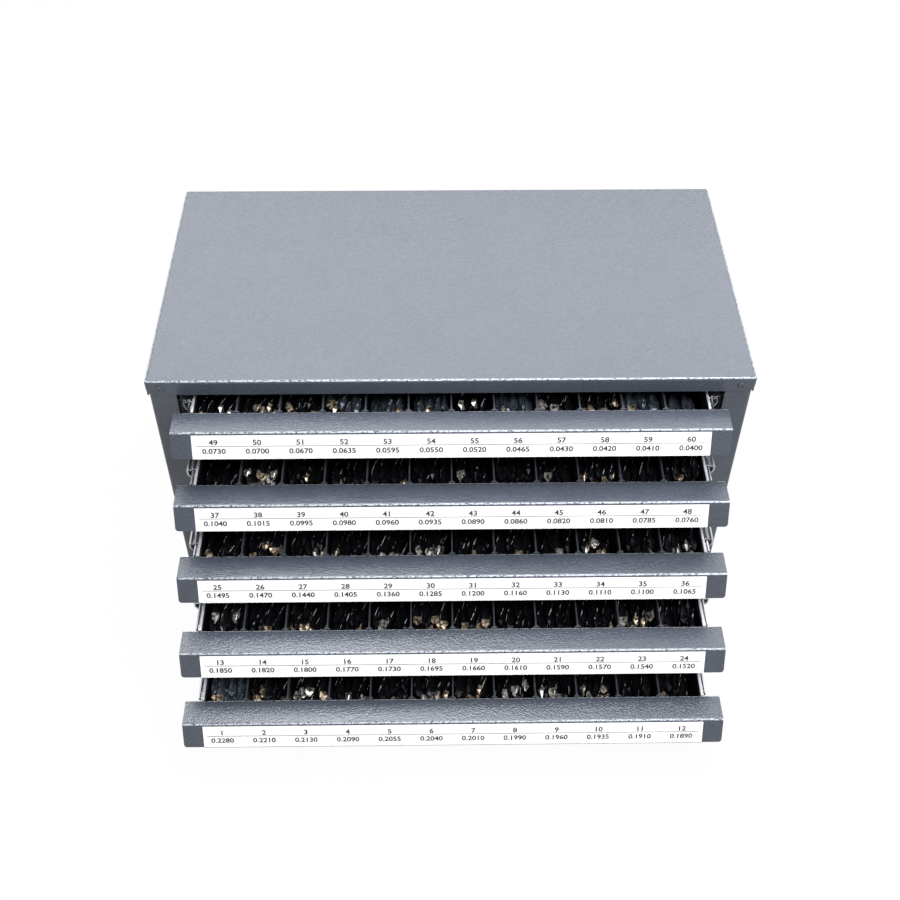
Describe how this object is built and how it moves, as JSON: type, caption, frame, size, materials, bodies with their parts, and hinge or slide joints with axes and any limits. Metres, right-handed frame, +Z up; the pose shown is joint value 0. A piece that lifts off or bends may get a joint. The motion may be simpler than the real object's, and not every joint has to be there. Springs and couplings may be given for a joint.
{
  "type": "drill bit drawer case",
  "caption": "Sheet steel bench case with a stack of telescopic drawers, each divided into compartments for sized drill bits, with numbered label strips on the drawer lips.",
  "frame": {"origin": "middle of the base pan's underside", "axes": "+X to the right seen from the front, +Y from the drawer fronts to the back, +Z up"},
  "size_m": [0.368, 0.3372, 0.204],
  "materials": {
    "hammertone_paint": "hammertone enamel, semi-gloss",
    "slide_steel": "bright zinc plate",
    "label_stock": "printed white strip"
  },
  "bodies": {
    "case": {"top_cover": "hammertone_paint", "base_pan": "hammertone_paint", "side_panel_left": "hammertone_paint", "side_panel_right": "hammertone_paint", "back_panel": "hammertone_paint", "slide_posts_front": "slide_steel", "slide_posts_rear": "slide_steel", "case_rivets": "hammertone_paint", "drawer_1_outer_slides": "slide_steel", "drawer_2_outer_slides": "slide_steel", "drawer_3_outer_slides": "slide_steel", "drawer_4_outer_slides": "slide_steel", "drawer_5_outer_slides": "slide_steel"},
    "drawer_1": {"drawer_1_front": "hammertone_paint", "drawer_1_label": "label_stock", "drawer_1_tray": "hammertone_paint", "drawer_1_dividers": "hammertone_paint", "drawer_1_inner_slides": "slide_steel"},
    "drawer_1_slides": {"drawer_1_middle_slides": "slide_steel"},
    "drawer_2": {"drawer_2_front": "hammertone_paint", "drawer_2_label": "label_stock", "drawer_2_tray": "hammertone_paint", "drawer_2_dividers": "hammertone_paint", "drawer_2_inner_slides": "slide_steel"},
    "drawer_2_slides": {"drawer_2_middle_slides": "slide_steel"},
    "drawer_3": {"drawer_3_front": "hammertone_paint", "drawer_3_label": "label_stock", "drawer_3_tray": "hammertone_paint", "drawer_3_dividers": "hammertone_paint", "drawer_3_inner_slides": "slide_steel"},
    "drawer_3_slides": {"drawer_3_middle_slides": "slide_steel"},
    "drawer_4": {"drawer_4_front": "hammertone_paint", "drawer_4_label": "label_stock", "drawer_4_tray": "hammertone_paint", "drawer_4_dividers": "hammertone_paint", "drawer_4_inner_slides": "slide_steel"},
    "drawer_4_slides": {"drawer_4_middle_slides": "slide_steel"},
    "drawer_5": {"drawer_5_front": "hammertone_paint", "drawer_5_label": "label_stock", "drawer_5_tray": "hammertone_paint", "drawer_5_dividers": "hammertone_paint", "drawer_5_inner_slides": "slide_steel"},
    "drawer_5_slides": {"drawer_5_middle_slides": "slide_steel"}
  },
  "joints": [
    {"name": "drawer_1_slide", "type": "slide", "parent": "case", "child": "drawer_1", "axis": [0, -1, 0], "range_m": [-0.00735, 0.12335]},
    {"name": "drawer_1_middle_slide", "type": "slide", "parent": "case", "child": "drawer_1_slides", "axis": [0, -1, 0], "range_m": [-0.00588, 0.09868]},
    {"name": "drawer_2_slide", "type": "slide", "parent": "case", "child": "drawer_2", "axis": [0, -1, 0], "range_m": [-0.03325, 0.09745]},
    {"name": "drawer_2_middle_slide", "type": "slide", "parent": "case", "child": "drawer_2_slides", "axis": [0, -1, 0], "range_m": [-0.0266, 0.07796]},
    {"name": "drawer_3_slide", "type": "slide", "parent": "case", "child": "drawer_3", "axis": [0, -1, 0], "range_m": [-0.06005, 0.07065]},
    {"name": "drawer_3_middle_slide", "type": "slide", "parent": "case", "child": "drawer_3_slides", "axis": [0, -1, 0], "range_m": [-0.04804, 0.05652]},
    {"name": "drawer_4_slide", "type": "slide", "parent": "case", "child": "drawer_4", "axis": [0, -1, 0], "range_m": [-0.0902, 0.0405]},
    {"name": "drawer_4_middle_slide", "type": "slide", "parent": "case", "child": "drawer_4_slides", "axis": [0, -1, 0], "range_m": [-0.07216, 0.0324]},
    {"name": "drawer_5_slide", "type": "slide", "parent": "case", "child": "drawer_5", "axis": [0, -1, 0], "range_m": [-0.1177, 0.013]},
    {"name": "drawer_5_middle_slide", "type": "slide", "parent": "case", "child": "drawer_5_slides", "axis": [0, -1, 0], "range_m": [-0.09416, 0.0104]}
  ],
  "couplings": [
    {"joint": "drawer_1_middle_slide", "follows": "drawer_1_slide", "ratio": 0.8},
    {"joint": "drawer_2_middle_slide", "follows": "drawer_2_slide", "ratio": 0.8},
    {"joint": "drawer_3_middle_slide", "follows": "drawer_3_slide", "ratio": 0.8},
    {"joint": "drawer_4_middle_slide", "follows": "drawer_4_slide", "ratio": 0.8},
    {"joint": "drawer_5_middle_slide", "follows": "drawer_5_slide", "ratio": 0.8}
  ]
}
